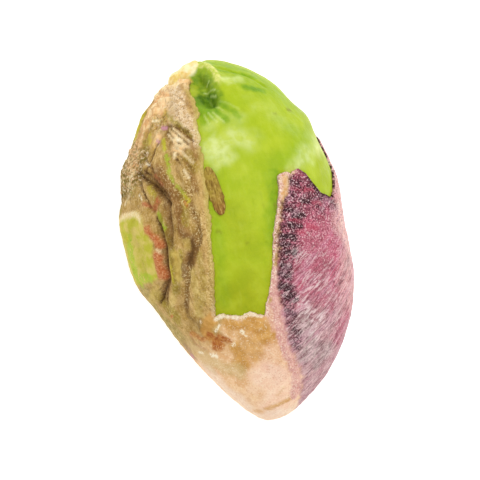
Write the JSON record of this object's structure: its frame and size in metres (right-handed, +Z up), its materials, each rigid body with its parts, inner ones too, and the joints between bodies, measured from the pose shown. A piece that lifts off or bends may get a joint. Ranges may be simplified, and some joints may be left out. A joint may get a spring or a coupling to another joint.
{
  "type": "shelled pistachio kernel",
  "caption": "Shelled pistachio kernel lying on its back, green flesh showing through a long tear in its wrinkled brown and purple skin, with a pale root nub at the blunt end.",
  "frame": {"origin": "on the surface the nut rests on, under the middle of its plan outline", "axes": "+Y along the nut to its blunt end with the root nub, +Z up, out of the torn side of the skin, +X to the purple side of the skin"},
  "size_m": [0.0114, 0.0185, 0.0095],
  "materials": {
    "flesh": "satin",
    "skin": "matte",
    "dry_skin": "matte"
  },
  "bodies": {
    "root": {"kernel": "flesh", "seed_coat": "skin", "skin_scrap": "dry_skin"}
  },
  "joints": []
}
